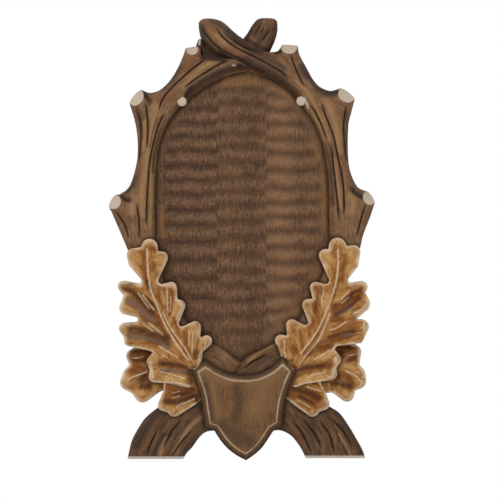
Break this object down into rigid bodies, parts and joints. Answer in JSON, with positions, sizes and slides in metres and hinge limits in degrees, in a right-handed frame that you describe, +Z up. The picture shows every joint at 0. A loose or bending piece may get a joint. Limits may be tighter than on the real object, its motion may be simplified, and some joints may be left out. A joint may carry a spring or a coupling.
{
  "type": "antler mounting plaque",
  "caption": "Carved wooden wall plaque for mounting antlers: rippled oval field framed by sawn branches, with oak leaves and a small shield below.",
  "frame": {"origin": "on the flat back, on the plaque's centreline, about half way up, where the wall carries it", "axes": "+Z up, +Y into the wall, +X to the right as seen from the front; the carved front faces -Y"},
  "size_m": [0.3332, 0.04, 0.5534],
  "materials": {
    "stained_lime": "carved lime, stained dark brown with honey-coloured leaves and pale sawn ends, satin wax"
  },
  "bodies": {
    "root": {"carved_plaque": "stained_lime"}
  },
  "joints": []
}
